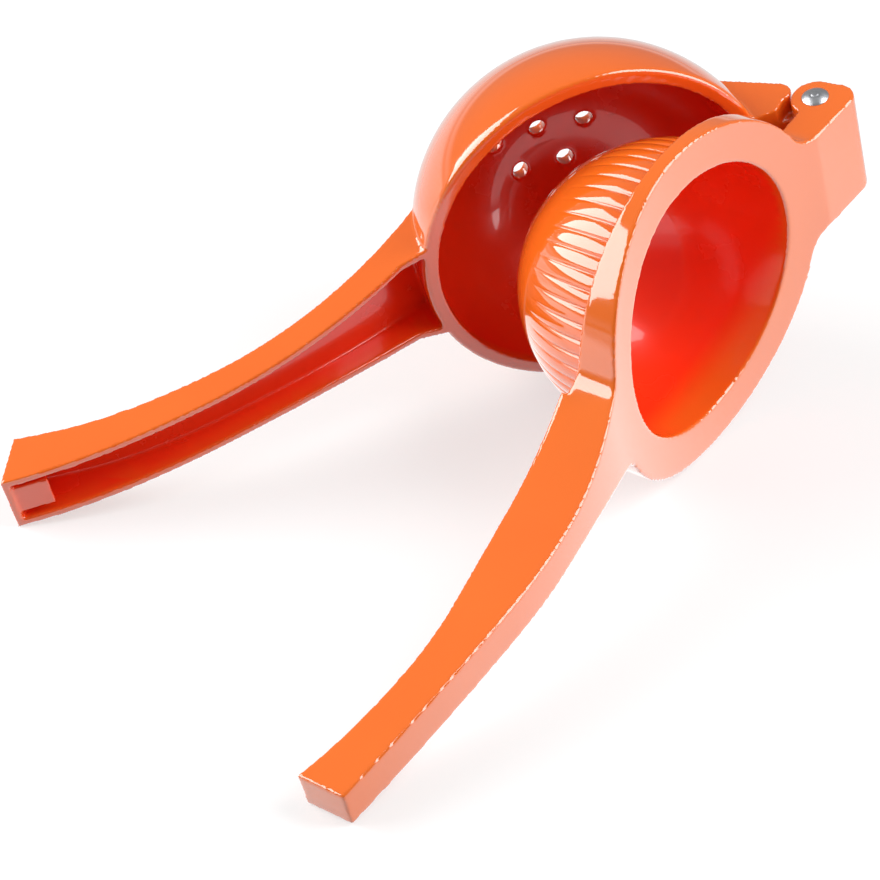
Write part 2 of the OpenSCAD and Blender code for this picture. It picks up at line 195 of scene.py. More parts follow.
class Solid:
    """A closed mesh in millimetres, in the drawing frame of one arm.

    In that frame x runs along the arm from the hinge axis, y points out of the press side and z lies
    along the hinge axis.
    """

    def __init__(self, mesh: bmesh.types.BMesh) -> None:
        """Takes over a bmesh and points its faces outwards."""
        bmesh.ops.recalc_face_normals(mesh, faces=mesh.faces)
        self.mesh = mesh

    @classmethod
    def prism(cls, outline: Sequence[Point], plane: Plane, half: float = FAR) -> Solid:
        """Raises an outline square to its plane, to both sides.

        Args:
            outline: Corners in order, mm.
            plane: The plane of the outline.
            half: How far the prism reaches to each side, mm.

        Returns:
            The prism.
        """
        mesh = bmesh.new()
        side = plane is Plane.SIDE
        corners = [mesh.verts.new((u, v, -half) if side else (u, -half, v)) for u, v in outline]
        face = mesh.faces.new(corners)
        raised = bmesh.ops.extrude_face_region(mesh, geom=[face])
        rise = 2 * half * Vector((0, 0, 1) if side else (0, 1, 0))
        moved = [item for item in raised["geom"] if isinstance(item, bmesh.types.BMVert)]
        bmesh.ops.translate(mesh, vec=rise, verts=moved)
        return cls(mesh)

    @classmethod
    def turned(cls, profile: Sequence[Point], turning: Turning, steps: int = 240) -> Solid:
        """Spins a profile whose two ends lie on the axis.

        Args:
            profile: Points of (radius, height), mm, from the axis to the axis.
            turning: The axis.
            steps: Number of steps in the full turn.

        Returns:
            The turned solid.
        """
        mesh = bmesh.new()
        corners = [mesh.verts.new(turning.place(abs(r), height)) for r, height in profile]
        edges = [mesh.edges.new(pair) for pair in zip(corners, corners[1:])]
        bmesh.ops.spin(
            mesh,
            geom=corners + edges,
            cent=turning.middle,
            axis=turning.axis,
            angle=2 * math.pi,
            steps=steps,
            use_merge=True,
        )
        bmesh.ops.remove_doubles(mesh, verts=mesh.verts, dist=WELD)
        return cls(mesh)

    @classmethod
    def rod(cls, place: Vector, turning: Turning, radius: float, length: float) -> Solid:
        """A round rod centred at place, along the turning's axis.

        Args:
            place: Middle of the rod, mm.
            turning: Whose axis it lies along.
            radius: Radius, mm.
            length: Length, mm.

        Returns:
            The rod.
        """
        lay = Matrix.Rotation(math.pi / 2, 4, "X") if turning is Turning.CUP else Matrix.Identity(4)
        mesh = bmesh.new()
        bmesh.ops.create_cone(
            mesh,
            cap_ends=True,
            segments=SIDES,
            radius1=radius,
            radius2=radius,
            depth=length,
            matrix=Matrix.Translation(place) @ lay,
        )
        return cls(mesh)

    def as_object(self, name: str) -> bpy.types.Object:
        """Puts the mesh into the scene as an object and frees the bmesh.

        Args:
            name: Name of the object and its mesh.

        Returns:
            The object.
        """
        data = bpy.data.meshes.new(name)
        self.mesh.to_mesh(data)
        self.mesh.free()
        made = bpy.data.objects.new(name, data)
        bpy.context.scene.collection.objects.link(made)
        return made

    @classmethod
    def adopt(cls, mesh: bmesh.types.BMesh) -> Solid:
        """Takes over a bmesh whose faces already point the right way.

        Args:
            mesh: The bmesh.

        Returns:
            The solid.
        """
        made = cls.__new__(cls)
        made.mesh = mesh
        return made

    @classmethod
    def after_modifiers(cls, base: bpy.types.Object) -> Solid:
        """Reads a scratch object back with its modifiers applied, and removes it.

        Args:
            base: The scratch object.

        Returns:
            The solid.
        """
        mesh = bmesh.new()
        mesh.from_object(base, bpy.context.evaluated_depsgraph_get())
        remove(base)
        return cls.adopt(mesh)

    def joined(self, how: Join, tool: Solid) -> Solid:
        """Cuts another solid from this one, or keeps what lies inside it. Both are used up.

        Args:
            how: Whether to cut or to keep.
            tool: The other solid.

        Returns:
            What is left.
        """
        base = self.as_object("scratch_base")
        other = tool.as_object("scratch_tool")
        modify(base, "BOOLEAN", operation=how.value, solver="EXACT", object=other)
        made = Solid.after_modifiers(base)
        remove(other)
        return made

    def cut(self, *tools: Solid) -> Solid:
        """Cuts every tool from the solid.

        Args:
            tools: Solids to cut away. They are used up.

        Returns:
            What is left.
        """
        made = self
        for tool in tools:
            made = made.joined(Join.CUT, tool)
        return made

    def kept_in(self, tool: Solid) -> Solid:
        """Keeps what lies inside the tool."""
        return self.joined(Join.KEEP, tool)

    def cast(self, others: Iterable[Solid], grain: float, passes: int, kept: float) -> Solid:
        """Melts overlapping solids into one skin with rounded edges.

        The skin is first made of fine even faces, on a grid that is askew to every edge, and then thinned
        where it is flat.

        Args:
            others: Solids that overlap this one. They are used up.
            grain: Size of the even faces, mm.
            passes: Smoothing passes; each widens the rounds a little.
            kept: Share of the even faces that is kept.

        Returns:
            The melted solid.
        """
        for other in others:
            scratch = bpy.data.meshes.new("scratch_join")
            other.mesh.to_mesh(scratch)
            other.mesh.free()
            self.mesh.from_mesh(scratch)
            bpy.data.meshes.remove(scratch)
        bmesh.ops.transform(self.mesh, matrix=SKEW, verts=self.mesh.verts)
        base = self.as_object("scratch_cast")
        modify(base, "REMESH", mode="VOXEL", voxel_size=grain, adaptivity=0.0)
        modify(base, "SMOOTH", factor=0.5, iterations=passes)
        modify(base, "DECIMATE", ratio=kept)
        made = Solid.after_modifiers(base)
        bmesh.ops.transform(made.mesh, matrix=SKEW.inverted(), verts=made.mesh.verts)
        return made

    def placed(self, where: Matrix) -> Solid:
        """Takes the solid to its place, with smooth shading.

        Args:
            where: Takes the drawing to its place in the frame.

        Returns:
            The same solid.
        """
        bmesh.ops.transform(self.mesh, matrix=where, verts=self.mesh.verts)
        for face in self.mesh.faces:
            face.smooth = True
        return self

    def marked(self, painted_shade: Callable[[Vector], float]) -> Solid:
        """Writes on each vertex its share of painted shade, from 0 to 1, for the enamel to read.

        Args:
            painted_shade: Gives that share for a place in the drawing frame.

        Returns:
            The same solid.
        """
        layer = self.mesh.verts.layers.float.new(PAINTED_SHADE)
        for vert in self.mesh.verts:
            vert[layer] = painted_shade(vert.co)
        return self


def ramp(value: float, ends: Point) -> float:
    """Smooth step from 0 at the first end to 1 at the second."""
    share = min(1.0, max(0.0, (value - ends[0]) / (ends[1] - ends[0])))
    return share * share * (3 - 2 * share)


def modify(base: bpy.types.Object, kind: str, **values: object) -> None:
    """Adds a modifier and sets its properties by name.

    Args:
        base: Object that the modifier goes on.
        kind: The modifier's type.
        values: Its properties.
    """
    modifier = base.modifiers.new(kind.lower(), kind)
    for name, value in values.items():
        setattr(modifier, name, value)


def remove(scratch: bpy.types.Object) -> None:
    """Removes a scratch object and its mesh.

    Args:
        scratch: The object.
    """
    data = scratch.data
    bpy.data.objects.remove(scratch)
    bpy.data.meshes.remove(data)


# --- The tool's own sizes ---


@dataclass(frozen=True)
class Lie:
    """How the open tool lies: the hinge's place, the tilt of its axis and half the open angle."""

    hinge: Vector
    pitch: float
    roll: float
    half_open: float = math.radians(16.8)

    @classmethod
    def of_joint(cls, joint: dict) -> Lie:
        """Reads the tilt from the hinge joint of the frame."""
        x, y, z = joint["axis"]
        return cls(Vector(joint["pos_m"]), math.asin(x), math.atan2(-y, z))

    def of(self, arm: Arm) -> Matrix:
        """Takes an arm's drawing, in millimetres, to its place in the frame, in metres.

        Args:
            arm: The arm.

        Returns:
            The matrix that does it.
        """
        return (
            Matrix.Translation(self.hinge)
            @ Matrix.Rotation(self.roll, 4, "X")
            @ Matrix.Rotation(self.pitch, 4, "Y")
            @ Matrix.Rotation(arm.value * self.half_open, 4, "Z")
            @ Matrix.Scale(MM, 4)
        )


@dataclass(frozen=True)
class Hinge:
    """Sizes that both arms share, mm."""

    cup_x: float = Turning.CUP.middle.x
    ear_r: float = 6.2
    pin_r: float = 2.5
    fork_w: float = 29.6
    ear_t: float = 5.0
    gap: float = 0.3
    corner: Point = (6.9, -7.4)

    @property
    def slot_w(self) -> float:
        """Width of the room between the ears."""
        return self.fork_w - 2 * self.ear_t

    @property
    def knuckle_w(self) -> float:
        """Width of the knuckle that turns between the ears."""
        return self.slot_w - 2 * self.gap


HINGE = Hinge()


@dataclass(frozen=True)
class Flare:
    """A handle seen from above: a straight grip that widens in a hollow curve towards its cup, mm."""

    w: float
    w_root: float
    x_waist: float
    x_root: float

    @property
    def radius(self) -> float:
        """Radius of the hollow curve."""
        run, rise = self.x_waist - self.x_root, (self.w_root - self.w) / 2
        return (run**2 + rise**2) / (2 * rise)

    @property
    def centre(self) -> Point:
        """Middle of the hollow curve on the upper side."""
        return (self.x_waist, self.w / 2 + self.radius)

    def half(self, x: float) -> float:
        """Half the width at x.

        Args:
            x: Distance along the arm, mm.

        Returns:
            Half the width, mm.
        """
        if x >= self.x_waist:
            return self.w / 2
        return hollow(x, (self.x_waist, self.w / 2), self.radius)


@dataclass
class PressArm:
    """Arm with the ribbed dome: flange, hinge fork and solid handle, mm."""

    flange_r: float = 45.0
    flange_t: float = 4.2
    front: float = -1.0
    hollow_r: float = 34.3
    dome_r: float = 36.6
    dome_depth: float = 42.4
    core_inset: float = 0.15
    # Ribs: a crest is a broad crown with a narrow ridge, and powers say how narrow.
    rib_count: int = 54
    rib_depth: float = 0.95
    rib_fade: float = 57.0
    rib_wall: float = 1.0
    rib_row: float = 0.6
    rib_steps: int = 14
    neck_rows: int = 8
    crown_share: float = 0.35
    crown_power: int = 2
    ridge_power: int = 7
    ledge: float = 0.6
    # Back of the flange, and the fork.
    saddle_r_hinge: float = 227.0
    saddle_r_handle: float = 139.0
    saddle_over: float = 3.0
    reach: float = 225.0
    crease_x: float = 12.4
    ear_end_x: float = 6.1
    fork_corner: Point = (-2.3, 4.4)
    fork_corner_r: float = 4.6
    fork_wall: float = 2.4
    slot_lip: float = 3.5
    root_round_r: float = 8.0
    # Handle bar, seen from above and then from the side.
    bar_round_r: float = 7.0
    bar_w: float = 9.8
    bar_root_w: float = 24.0
    bar_flare: float = 35.0
    crest_x: float = 165.0
    tip_back_r: float = 900.0
    inner_root: float = -2.8
    inner_slope: float = 10.8
    inner_turn_x: float = 168.0
    inner_r: float = 118.0
    inner_tip_r: float = 160.0
    # Where painted shade darkens the hollow, leaning towards its upper side.
    lip: float = 0.6
    lip_depth: Point = (0.8, 3.0)
    shade_depth: Point = (1.0, 12.0)
    shade_lean: float = 0.3
    shade_z: float = 24.0
    # The cast skin.
    grain: float = 0.42
    passes: int = 12
    kept: float = 0.3

    def __post_init__(self) -> None:
        """Works out the places that follow from the sizes."""
        self.back = self.front + self.flange_t
        self.tip_y = self.front - self.dome_depth
        fade = math.cos(math.radians(self.rib_fade))
        drop = (2 * self.dome_r * self.rib_depth - self.rib_depth**2) / (2 * self.dome_r * fade)
        self.cap_r = math.hypot(self.dome_r - self.rib_depth, drop)
        self.cap_y = self.tip_y + self.cap_r
        self.crest_y = self.cap_y + drop
        flange_end = HINGE.cup_x + self.flange_r
        self.flare = Flare(self.bar_w, self.bar_root_w, flange_end + self.bar_flare, flange_end)
        self.saddle_end = flange_end + self.saddle_over

    def back_height(self, x: float) -> float:
        """Height of the back of the flange and the handle.

        Args:
            x: Distance along the arm, mm.

        Returns:
            The height, mm.
        """
        middle = (HINGE.cup_x, self.back)
        if x <= HINGE.cup_x:
            return hollow(x, middle, self.saddle_r_hinge)
        if x <= self.saddle_end:
            return hollow(x, middle, self.saddle_r_handle)
        slope = math.asin((self.saddle_end - HINGE.cup_x) / self.saddle_r_handle)
        radius = (self.crest_x - self.saddle_end) / math.sin(slope)
        top = hollow(self.saddle_end, middle, self.saddle_r_handle) + radius * (1 - math.cos(slope))
        return crest(x, (self.crest_x, top), radius if x <= self.crest_x else self.tip_back_r)

    def inner_height(self, x: float) -> float:
        """Height of the handle's inner edge.

        Args:
            x: Distance along the arm, mm.

        Returns:
            The height, mm.
        """
        slope = math.radians(self.inner_slope)
        if x <= self.inner_turn_x:
            return self.inner_root + (x - self.saddle_end) * math.tan(slope)
        turn_y = self.inner_root + (self.inner_turn_x - self.saddle_end) * math.tan(slope)
        top_x = self.inner_turn_x + self.inner_r * math.sin(slope)
        top_y = turn_y + self.inner_r * (1 - math.cos(slope))
        return crest(x, (top_x, top_y), self.inner_r if x <= top_x else self.inner_tip_r)

    def side_outline(self) -> list[Point]:
        """Fork, flange and handle seen along the hinge axis.

        Returns:
            The outline's corners.
        """
        ear = arc((0, 0), HINGE.ear_r, angle_from((0, 0), (self.ear_end_x, self.front)), -180)
        corner = arc(self.fork_corner, self.fork_corner_r, 180, 90)
        back = along(self.crease_x, self.reach, self.back_height)
        inner = along(self.reach, self.saddle_end, self.inner_height)
        return ear + corner + back + inner + [(self.saddle_end, self.front)]

    def outline_above(self) -> list[Point]:
        """Fork, flange and handle seen square to the flange.

        Returns:
            The outline's corners.
        """
        cup = (HINGE.cup_x, 0.0)
        side = HINGE.fork_w / 2
        root_z = side + self.root_round_r
        root_x = cup[0] - math.sqrt((self.flange_r + self.root_round_r) ** 2 - root_z**2)
        root = (root_x, root_z)
        bar = self.bar_round_centre()
        half = [(-FAR, side)]
        half += arc(root, self.root_round_r, -90, angle_from(root, cup))
        half += arc(cup, self.flange_r, angle_from(cup, root), angle_from(cup, bar))
        half += arc(bar, self.bar_round_r, angle_from(bar, cup), angle_from(self.flare.centre, bar))
        touch = angle_from(self.flare.centre, bar) % 360
        half += arc(self.flare.centre, self.flare.radius, touch, 270)
        half += [(self.reach + FAR, self.flare.w / 2)]
        return mirrored(half)

    def bar_round_centre(self) -> Point:
        """Middle of the round between the flange and the handle's flare.

        Returns:
            The point that lies one round's radius outside the flange and inside the flare's curve.
        """
        middle = Vector((HINGE.cup_x, 0.0))
        across = Vector(self.flare.centre) - middle
        from_cup = self.flange_r + self.bar_round_r
        from_flare = self.flare.radius - self.bar_round_r
        run = (from_cup**2 - from_flare**2 + across.length_squared) / (2 * across.length)
        aside = math.sqrt(from_cup**2 - run**2)
        unit = across.normalized()
        return tuple(middle + run * unit + aside * Vector((unit.y, -unit.x)))

    def fork_slot(self) -> Solid:
        """Room for the knuckle between the ears.

        Returns:
            The solid to cut away.
        """
        room_r = self.fork_corner[1] + self.fork_corner_r - self.fork_wall
        left = 180 - math.degrees(math.asin(self.slot_lip / room_r))
        outline = [(room_r, -FAR)] + arc((0, 0), room_r, 0, left) + [(-FAR, self.slot_lip), (-FAR, -FAR)]
        return Solid.prism(outline, Plane.SIDE, HINGE.slot_w / 2)

    def dome_core(self) -> Solid:
        """Smooth cup that carries the ribs and holds the hollow.

        Returns:
            The cup.
        """
        r = self.cap_r - self.core_inset
        top = self.front + BITE
        outer = arc((0, self.cap_y), r, -90, 0) + [(r, top)]
        inner = [(self.hollow_r, top)] + arc((0, self.crest_y), self.hollow_r, 0, -90)
        return Solid.turned(outer + inner, Turning.CUP)

    def ribs(self) -> Solid:
        """Ribbed outer wall of the dome.

        Returns:
            The wall, with its ribs.
        """
        row = self.rib_row
        top = self.front + self.ledge
        sides = arc((0, self.crest_y), self.dome_r, self.rib_fade - 90, 0, row)
        cap = arc((0, self.cap_y), self.cap_r, -90, angle_from((0, self.cap_y), sides[0]), step=0.8)
        neck = [(self.dome_r, self.crest_y + row * (i + 1)) for i in range(self.neck_rows)]
        inner_r = self.cap_r - self.rib_wall
        inner = [(inner_r, top)] + arc((0, self.cap_y), inner_r, 0, -90, step=4.0)
        outer = cap + sides[1:] + neck + [(self.dome_r, top)]
        wall = Solid.turned(outer + inner, Turning.CUP, self.rib_count * self.rib_steps)
        for vert in wall.mesh.verts:
            self.press_groove(vert)
        return wall

    def press_groove(self, vert: bmesh.types.BMVert) -> None:
        """Moves a point of the ribs' crests inwards by the depth of the groove there.

        Across a rib the depth follows a broad crown with a narrow ridge in its middle, and it runs out
        towards the dome's tip, where the crests meet the plain cap.

        Args:
            vert: The point, which is moved.
        """
        out = vert.co - Vector((HINGE.cup_x, max(vert.co.y, self.crest_y), 0))
        if out.length < self.dome_r - TOUCH:
            return
        down = -out.y / out.length
        drop = self.crest_y - self.cap_y
        floor = drop * down + math.sqrt(self.cap_r**2 - drop**2 * (1 - down**2))
        turn = math.atan2(vert.co.z, vert.co.x - HINGE.cup_x) * self.rib_count / (2 * math.pi)
        near = 1 - 2 * abs(turn - round(turn))
        share = self.crown_share * near**self.crown_power + (1 - self.crown_share) * near**self.ridge_power
        vert.co -= out.normalized() * max(0.0, out.length - floor) * share

    def casting(self) -> Solid:
        """Fork, flange, handle and the dome's smooth core as one skin.

        Returns:
            The casting, with the share of painted shade on each vertex.
        """
        body = Solid.prism(self.side_outline(), Plane.SIDE)
        body = body.kept_in(Solid.prism(self.outline_above(), Plane.ABOVE))
        mouth = Solid.rod(Turning.CUP.middle, Turning.CUP, self.hollow_r, 2 * FAR)
        bore = Solid.rod(Turning.HINGE.middle, Turning.HINGE, HINGE.pin_r, 2 * FAR)
        body = body.cut(mouth, self.fork_slot(), bore)
        return body.cast([self.dome_core()], self.grain, self.passes, self.kept).marked(self.painted_shade)

    def painted_shade(self, place: Vector) -> float:
        """Share of painted shade at a point in the dome's hollow: more further in, and more on the upper
        side, which the edge keeps in shade.

        Args:
            place: The point, mm.

        Returns:
            A number from 0, with no painted shade, to 1, where the painted shade is full.
        """
        if math.hypot(place.x - HINGE.cup_x, place.z) > self.hollow_r + self.lip:
            return 0.0
        depth = self.back_height(place.x) - place.y
        shade = depth + self.shade_lean * (place.z + self.shade_z)
        return ramp(shade, self.shade_depth) * ramp(depth, self.lip_depth)


@dataclass
class BowlArm:
    """Arm with the perforated bowl: lug, knuckle and channel handle, mm."""

    bowl_r: float = 46.2
    wall: float = 4.0
    depth: float = 43.6
    rim_y: float = -1.3
    rim_round: float = 1.3
    hole_r: float = 2.15
    hole_pitch: float = 12.3
    hole_count: int = 6
    hole_turn: float = 6.0
    # Channel handle, seen from above and then from the side.
    reach: float = 220.3
    grip_w: float = 15.6
    grip_root_w: float = 30.0
    waist_x: float = 165.0
    flare_start: float = 40.0
    channel_start: float = 35.0
    channel_wall: float = 2.0
    mouth_wall: float = 2.5
    edge_crest: Point = (194.0, 14.6)
    edge_root_r: float = 225.0
    edge_tip_r: float = 140.0
    back_crest: Point = (180.0, 4.3)
    back_root_r: float = 153.0
    back_tip_r: float = 103.0
    root_l: float = 18.0
    tip_lean: float = 7.1
    tip_back_y: float = -1.5
    tip_edge_y: float = 12.0
    # Bumper pad in the tip.
    pad_length: float = 9.0
    pad_w: float = 8.2
    pad_drop: float = 1.0
    pad_gap: float = 0.5
    # Lug and knuckle.
    lug_end_r: float = 3.3
    lug_belly: Point = (4.9, -10.0)
    lug_top_x: float = 10.0
    lug_root: Point = (24.0, -24.5)
    lug_inset: float = 0.4
    neck_x: float = 11.0
    knuckle_inset: float = 0.2
    bore_room: float = 0.4
    # Where painted shade darkens the bowl and the channel, and the part of it painted on their rims and the
    # channel's lip.
    lip: float = 0.7
    lip_inset: float = 0.5
    edge_shade_share: float = 0.4
    wall_band: float = 1.2
    rim_margin: float = 0.6
    rim_fade: Point = (0.6, 4.0)
    edge_fade: Point = (-1.0, 2.4)
    floor_fade: Point = (-1.0, -0.4)
    # The cast skin.
    grain: float = 0.42
    passes: int = 9
    kept: float = 0.27

    def __post_init__(self) -> None:
        """Works out the places that follow from the sizes."""
        self.inner_r = self.bowl_r - self.wall
        self.ball_y = self.rim_y - (self.depth - self.inner_r)
        self.start_x = HINGE.cup_x + self.channel_start
        self.flare = Flare(self.grip_w, self.grip_root_w, self.waist_x, HINGE.cup_x + self.flare_start)

    def bowl(self) -> Solid:
        """Round bowl with a flat rim, without its holes.

        Returns:
            The bowl.
        """
        outer_r, inner_r = self.bowl_r, self.inner_r
        low = self.rim_y - self.rim_round
        outer = arc((0, self.ball_y), outer_r, -90, 0) + [(outer_r, low)]
        rim = arc((outer_r - self.rim_round, low), self.rim_round, 0, 90, step=0.1)
        inner = [(inner_r, self.rim_y)] + arc((0, self.ball_y), inner_r, 0, -90)
        return Solid.turned(outer + rim + inner, Turning.CUP)

    def inside(self) -> Solid:
        """Room inside the bowl, open at the top."""
        profile = arc((0, self.ball_y), self.inner_r, -90, 0) + [(self.inner_r, FAR), (0, FAR)]
        return Solid.turned(profile, Turning.CUP)

    def holes(self) -> list[Solid]:
        """The middle hole and the ring round it.

        Returns:
            One rod to cut away for each hole.
        """
        middle = Vector((HINGE.cup_x, self.ball_y - self.bowl_r, 0))
        turns = [math.radians(self.hole_turn + i * 360 / self.hole_count) for i in range(self.hole_count)]
        places = [middle] + [middle + self.hole_pitch * Vector((math.cos(a), 0, math.sin(a))) for a in turns]
        return [Solid.rod(place, Turning.CUP, self.hole_r, FAR) for place in places]

    def edge_height(self, x: float) -> float:
        """Height of the channel's edges, with the flat root level with the rim.

        Args:
            x: Distance along the arm, mm.

        Returns:
            The height, mm.
        """
        radius = self.edge_root_r if x <= self.edge_crest[0] else self.edge_tip_r
        height = crest(x, self.edge_crest, radius)
        return max(height, self.rim_y) if x < self.start_x + self.root_l else height

    def back_height(self, x: float, inset: float = 0.0) -> float:
        """Height of the channel's back, or with an inset that of its floor."""
        radius = self.back_root_r if x <= self.back_crest[0] else self.back_tip_r
        return crest(x, (self.back_crest[0], self.back_crest[1] + inset), radius + inset)

    def tip_x(self, y: float, inset: float = 0.0) -> float:
        """Where the leaning end face of the tip is at height y."""
        run = self.tip_lean / (self.tip_edge_y - self.tip_back_y)
        return self.reach - inset + (y - self.tip_edge_y) * run

    def meet_tip(self, height: Callable[[float], float], inset: float = 0.0) -> float:
        """The x at which a long curve of the handle meets the tip's end face.

        Args:
            height: Height of the curve at x, mm.
            inset: How far inside the end face, mm.

        Returns:
            The x, mm.
        """
        x = self.reach
        for _ in range(SETTLE):
            x = self.tip_x(height(x), inset)
        return x

    def channel(self) -> Solid:
        """Channel handle with its bumper pad left out.

        Returns:
            The channel, open along its inner side.
        """
        edge = along(self.meet_tip(self.edge_height), self.start_x, self.edge_height)
        back = along(self.start_x, self.meet_tip(self.back_height), self.back_height)
        body = Solid.prism(back + edge, Plane.SIDE)
        body = body.kept_in(self.seen_from_above(self.start_x, 0.0))
        mouth_x = HINGE.cup_x + self.inner_r + self.mouth_wall

        def floor(x: float) -> float:
            """Height of the channel's floor."""
            return self.back_height(x, self.channel_wall)

        low = along(mouth_x, self.meet_tip(floor, self.channel_wall), floor)
        high = [(self.tip_x(FAR, self.channel_wall), FAR), (mouth_x, FAR)]
        room = Solid.prism(low + high, Plane.SIDE)
        room = room.kept_in(self.seen_from_above(mouth_x - BITE, self.channel_wall))
        return body.cut(room, self.inside())

    def seen_from_above(self, start: float, inset: float) -> Solid:
        """Block with the channel's outline from above, narrower by an inset on each side.

        Args:
            start: The x where the block starts, mm.
            inset: The inset, mm.

        Returns:
            The block.
        """
        flare = along(start, self.flare.x_waist, lambda x: self.flare.half(x) - inset)
        half = flare + [(self.reach + FAR, self.flare.w / 2 - inset)]
        return Solid.prism(mirrored(half), Plane.ABOVE)

    def pad(self) -> Solid:
        """Bumper pad in the channel's tip.

        Returns:
            The pad, which reaches into the channel's floor and end.
        """
        start = self.reach - self.channel_wall - self.pad_length

        def top(x: float) -> float:
            """Height of the pad's face."""
            return self.edge_height(x) - self.pad_drop

        def low(x: float) -> float:
            """Height of the pad's underside, inside the channel's back."""
            return self.back_height(x, self.channel_wall / 2)

        outline = along(start, self.meet_tip(low, self.pad_gap), low)
        outline += along(self.meet_tip(top, self.pad_gap), start, top)
        return Solid.prism(outline, Plane.SIDE, self.pad_w / 2)

    def lug(self) -> Solid:
        """Lug beside the hinge, hollowed where the ears turn.

        Returns:
            The lug.
        """
        belly = 360 + angle_from(HINGE.corner, self.lug_belly)
        top = [(self.lug_top_x, self.rim_y), (self.lug_root[0], self.rim_y), self.lug_root]
        outline = arc(HINGE.corner, self.lug_end_r, belly, 90, step=0.3) + top
        lug = Solid.prism(outline, Plane.SIDE, HINGE.fork_w / 2 - self.lug_inset)
        away = Vector((0, 0, (HINGE.knuckle_w + FAR) / 2))
        room_r = HINGE.ear_r + HINGE.gap
        return lug.cut(self.inside(), *(Solid.rod(at, Turning.HINGE, room_r, FAR) for at in (-away, away)))

    def knuckle(self) -> Solid:
        """Knuckle that turns on the rivet, with its neck.

        Returns:
            The knuckle, with its bore.
        """
        r = HINGE.ear_r - self.knuckle_inset
        ring = arc((0, 0), r, angle_from((0, 0), (r, self.rim_y)), 270, step=0.3)
        outline = ring + [HINGE.corner, (self.neck_x, self.rim_y)]
        neck = Solid.prism(outline, Plane.SIDE, HINGE.knuckle_w / 2)
        return neck.cut(Solid.rod(Turning.HINGE.middle, Turning.HINGE, HINGE.pin_r + self.bore_room, FAR))

    def casting(self) -> Solid:
        """Bowl, channel handle, pad, lug and knuckle as one skin.

        Returns:
            The casting, with the share of painted shade on each vertex.
        """
        bowl = self.bowl().cut(*self.holes())
        others = [self.channel(), self.pad(), self.lug(), self.knuckle()]
        return bowl.cast(others, self.grain, self.passes, self.kept).marked(self.painted_shade)

    def painted_shade(self, place: Vector) -> float:
        """Share of painted shade at a point in the bowl or in the channel, growing further in; their rims and
        the channel's lip get a fixed part of it.

        Args:
            place: The point, mm.

        Returns:
            A number from 0, with no painted shade, to 1, where the painted shade is full.
        """
        out = place - Vector((HINGE.cup_x, min(0.0, max(place.y, self.ball_y)), 0))
        under_rim = self.rim_y - place.y
        # Inside the bowl the painted shade grows below the rim; the rim band and the channel's lip get the
        # fixed edge part.
        if out.length < self.inner_r + self.lip:
            return self.edge_shade_share + (1 - self.edge_shade_share) * ramp(under_rim, self.rim_fade)
        if out.length < self.bowl_r - self.rim_margin and under_rim < self.lip:
            return self.edge_shade_share
        if place.x < HINGE.cup_x + self.inner_r:
            return 0.0
        aside = self.flare.half(place.x) - abs(place.z)
        under_edge = self.edge_height(place.x) - place.y
        if under_edge < self.lip and aside > self.lip_inset:
            return self.edge_shade_share
        if aside < self.wall_band:
            return 0.0
        over = place.y - self.back_height(place.x, self.channel_wall)
        return ramp(under_edge, self.edge_fade) * ramp(over, self.floor_fade)


@dataclass
class Rivet:
    """Steel rivet with a domed head outside each ear, mm."""

    head_r: float = 3.4
    head_h: float = 1.1
    button_r: float = 1.1
    dip: float = 0.12
    dip_w: float = 0.25
    seat: float = 0.02
    chamfer: float = 0.1

    def turned(self) -> Solid:
        """Shank and both heads, each with a shallow ring round a small flat button.

        Returns:
            The rivet.
        """
        half = HINGE.fork_w / 2
        ball_r = (self.head_r**2 + self.head_h**2) / (2 * self.head_h)
        ball_y = half + self.head_h - ball_r
        edge = math.degrees(math.asin(self.head_r / ball_r))
        dome = arc((0, ball_y), ball_r, 90 - edge, 90, step=0.15)
        under = half + self.seat
        head = [(HINGE.pin_r, under), (self.head_r - self.chamfer, under)]
        head += [(r, y - self.dip * math.exp(-(((r - self.button_r) / self.dip_w) ** 2))) for r, y in dome]
        return Solid.turned([(r, -y) for r, y in reversed(head)] + head, Turning.HINGE, SIDES)


# --- Finishes ---


Feed = bpy.types.NodeSocket | float | Vector | Colour


